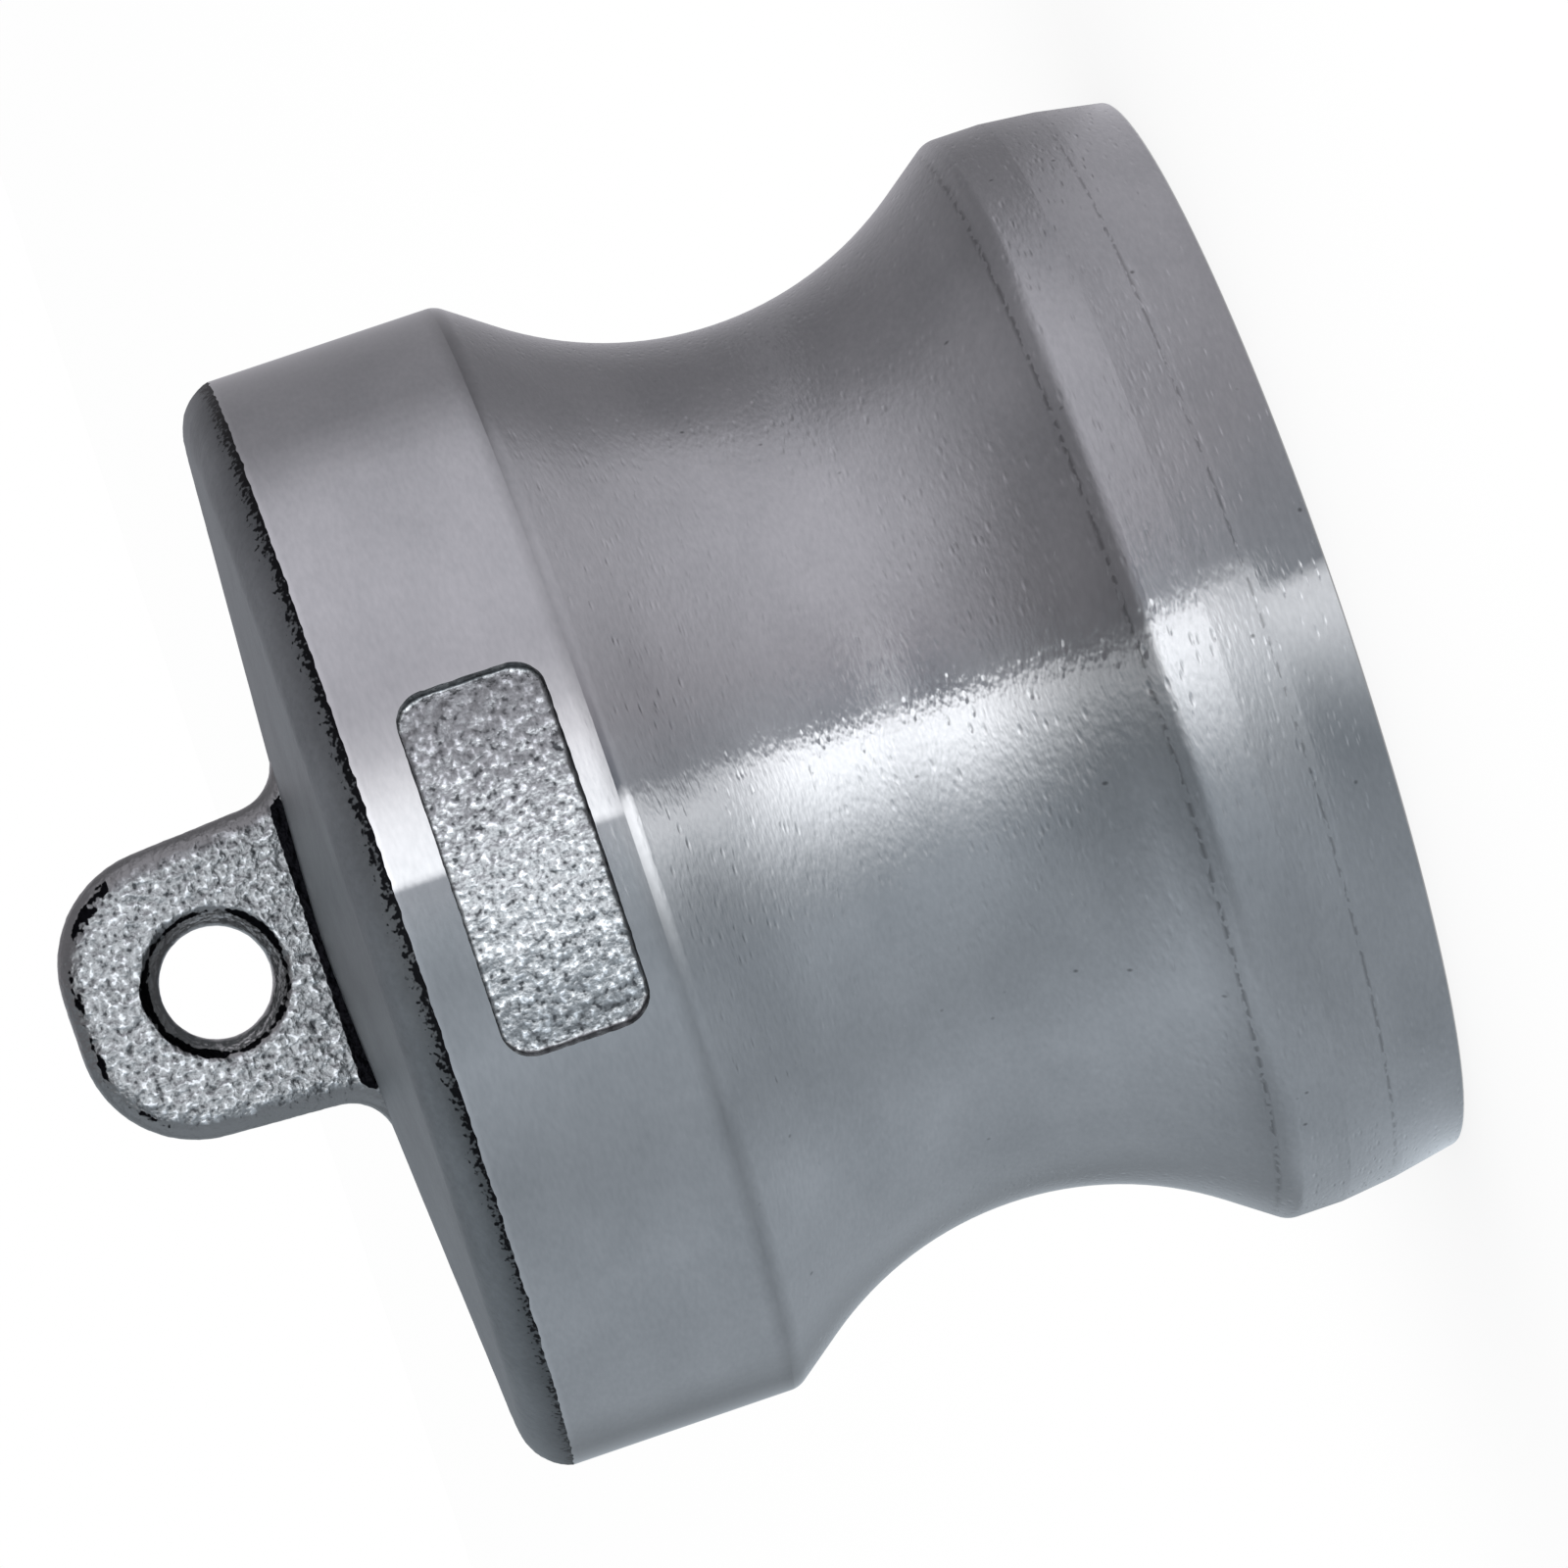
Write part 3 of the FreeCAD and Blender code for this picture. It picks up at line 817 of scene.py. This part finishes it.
table_corners = [(x * HALF_TABLE, y * HALF_TABLE, 0) for x, y in ((-1, -1), (1, -1), (1, 1), (-1, 1))]
table_mesh = bpy.data.meshes.new("table")
table_mesh.from_pydata(table_corners, [], [(0, 1, 2, 3)])
table_mesh.materials.append(sheet)
table = bpy.data.objects.new("table", table_mesh)
bpy.context.scene.collection.objects.link(table)
print("table, m:", 2 * HALF_TABLE)

# %% [markdown]
# ## A light tent for the metal
# Polished metal shows what stands round it, so its greys are the greys of its surroundings. Photographers
# stand such a piece in a tent of cards, and this is one mesh of that kind: a ring that lies on the table,
# a round wall and a lid. Its points carry the tent's colours. A point of the plug that faces the camera by
# some angle mirrors the tent at twice that angle, and this is how the tones were found. Only reflections
# see the tent: it hides nothing from the camera and casts no shadow.
#
# The straight land mirrors a low band far away, and this is the far ring with its own lamp. The groove's
# lower half mirrors the wall above that band, its upper half the table in front of it, and both show the
# near ring, the high ring and the groove's lamp. Beside the land's band that lamp's share is a little below
# zero, because the groove's rough metal would smear the band over its neighbours.

# %% Tones of the tent round the plug
# each pair is a turn from the camera's side towards +X, in degrees, and a tone
FAR_RING = (
    (-180, .52), (-168, .42), (-150, .35), (-130, .62), (-112, .68), (-88, .76), (-58, .65), (-32, .82),
    (-16, .70), (-8, .76), (14, .90), (30, .97), (52, 1.13), (67, 1.17), (85, 1.10), (95, 1.02), (105, .74),
    (115, .52), (137, .42), (150, .40), (168, .42), (180, .52))
NEAR_RING = (
    (-180, .58), (-165, .46), (-150, .40), (-130, .62), (-112, .68), (-88, .76), (-58, .65), (-32, .82),
    (-16, .70), (-8, .76), (14, .88), (30, .97), (42, 1.06), (55, 1.10), (70, .99), (85, .83), (95, .52),
    (102, .42), (114, .36), (130, .32), (150, .38), (165, .46), (180, .58))
HIGH_RING = (
    (-180, .46), (-130, .50), (-95, .88), (-60, .56), (-35, .41), (0, .34), (35, .35), (70, .40), (100, .50),
    (130, .46), (180, .46))
COOL, WARM = np.array((.91, 1.0, 1.09)), np.array((1.0, .98, 1.05))
COOL_UNTIL, WARM_FROM = -5, 25
# a lamp's turns, and its strength at each of them
LAND_LAMP = ((5.0, 6.4, 13, 20, 32, 42), (0, 1.95, 1.9, 1.55, .45, 0))
GROOVE_LAMP = ((-29, -22, -16, -10, -5, 1, 6.8, 9.8), (0, .2, .6, 1.2, 1.8, 2.4, 2.4, 0))
NOSE_REACH = 0.0195
TENT_ROWS = [
    # distance and height in metres, and shares: far ring, high ring, land's lamp, groove's lamp
    (0.0152, 0.00005, 0, .5, 0, .5),
    (0.0192, 0.00005, 0, .45, 0, .5),
    (0.0205, 0.00005, 0, .4, 0, .5),
    (0.0235, 0.00005, 0, .4, 0, .22),
    (0.028, 0.00005, 0, .2, 0, .65),
    (0.038, 0.00005, 0, .05, 0, 1),
    (0.055, 0.00005, 0, 0, -.15, 1),
    (0.230, 0.00005, 0, 0, -.22, 1),
    (0.300, 0.00005, 0, 0, -.22, .6),
    (0.370, 0.00005, 1, 0, 1, 0),
    (0.900, 0.00005, 1, 0, 1, 0),
    (0.900, 0.030, 1, 0, 1, 0),
    (0.900, 0.045, 0, 0, -.22, 1),
    (0.900, 0.200, 0, .1, -.18, 1),
    (0.900, 0.400, 0, .28, 0, .95),
    (0.900, 0.600, 0, .5, 0, .62),
    (0.900, 0.900, 0, .85, 0, .42),
    (0.900, 1.250, 0, 1, 0, .35),
    (0.500, 1.600, 0, 1, 0, .2),
    (0.010, 1.700, 0, 1, 0, 0),
]


def tent_colour(turn, lamp_turn, far, high, land_lamp, groove_lamp):
    """The tent's colour at one turn and row: cool on one side, warm on the other, with two lamps."""
    tone = (far * np.interp(turn, *zip(*FAR_RING)) + high * np.interp(turn, *zip(*HIGH_RING))
            + (1 - far - high) * np.interp(turn, *zip(*NEAR_RING)))
    tint = COOL + (WARM - COOL) * np.interp(turn, (COOL_UNTIL, WARM_FROM), (0, 1))
    return (tone * tint + land_lamp * np.interp(lamp_turn, *LAND_LAMP)
            + groove_lamp * np.interp(lamp_turn, *GROOVE_LAMP))


turns = np.union1d(np.arange(-180, 181, 4), np.arange(-20, 40, 1))
print("turns and rows:", len(turns), len(TENT_ROWS))

# %% Put up the tent
def around_plug(turn, distance, height):
    """A place this far round from the camera's side, towards the plug's +X side."""
    angle = math.radians(turn)
    return distance * math.sin(angle), -distance * math.cos(angle), height


tent_places, tent_colours, tent_faces = [], [], []
for distance, height, *shares in TENT_ROWS:
    # only the nose mirrors the table this near, at half the turn, so the lamps are half as wide there
    narrowing = 2 if distance < NOSE_REACH else 1
    for turn in turns:
        tent_places.append(around_plug(turn, distance, height))
        tent_colours.extend((*tent_colour(turn, turn * narrowing, *shares), 1))
for row in range(len(TENT_ROWS) - 1):
    for column in range(len(turns) - 1):
        first = row * len(turns) + column
        tent_faces.append((first, first + 1, first + 1 + len(turns), first + len(turns)))

tent_mesh = bpy.data.meshes.new("light_tent")
tent_mesh.from_pydata(tent_places, [], tent_faces)
tent_mesh.color_attributes.new("tent_tone", "FLOAT_COLOR", "POINT").data.foreach_set("color", tent_colours)
tent_cloth = bpy.data.materials.new("tent_cloth")
tent_cloth.use_nodes = True
tree = tent_cloth.node_tree
tree.nodes.clear()
tone = node(tree, "Attribute", attribute_name="tent_tone").outputs["Color"]
node(tree, "OutputMaterial", {"Surface": node(tree, "Emission", {"Color": tone}).outputs[0]})
tent_mesh.materials.append(tent_cloth)

tent = bpy.data.objects.new("light_tent", tent_mesh)
for ray in ("camera", "diffuse", "transmission", "volume_scatter", "shadow"):
    setattr(tent, "visible_" + ray, False)
bpy.context.scene.collection.objects.link(tent)
print("tent, faces:", len(tent_faces))

# %% [markdown]
# ## Soft light on the table
# One large lamp above and to the side gives the table its soft shadow. The metal takes its light from the
# tent, so this lamp stays out of its reflections.

# %% Lamp over the table
LAMP_SIDE = 0.8
LAMP_POWER = 1.2
LAMP_TURN, LAMP_DISTANCE, LAMP_HEIGHT = 35, 0.6, 0.8

lamp_data = bpy.data.lights.new("table_lamp", "AREA")
lamp_data.size = LAMP_SIDE
lamp_data.energy = LAMP_POWER
lamp = bpy.data.objects.new("table_lamp", lamp_data)
lamp.location = around_plug(LAMP_TURN, LAMP_DISTANCE, LAMP_HEIGHT)
lamp.rotation_euler = (plug_middle - lamp.location).to_track_quat("-Z", "Y").to_euler()
lamp.visible_camera = lamp.visible_glossy = False
bpy.context.scene.collection.objects.link(lamp)
bpy.context.scene.view_settings.view_transform = "Standard"
print("lamp, m from the plug:", round((lamp.location - plug_middle).length, 2))
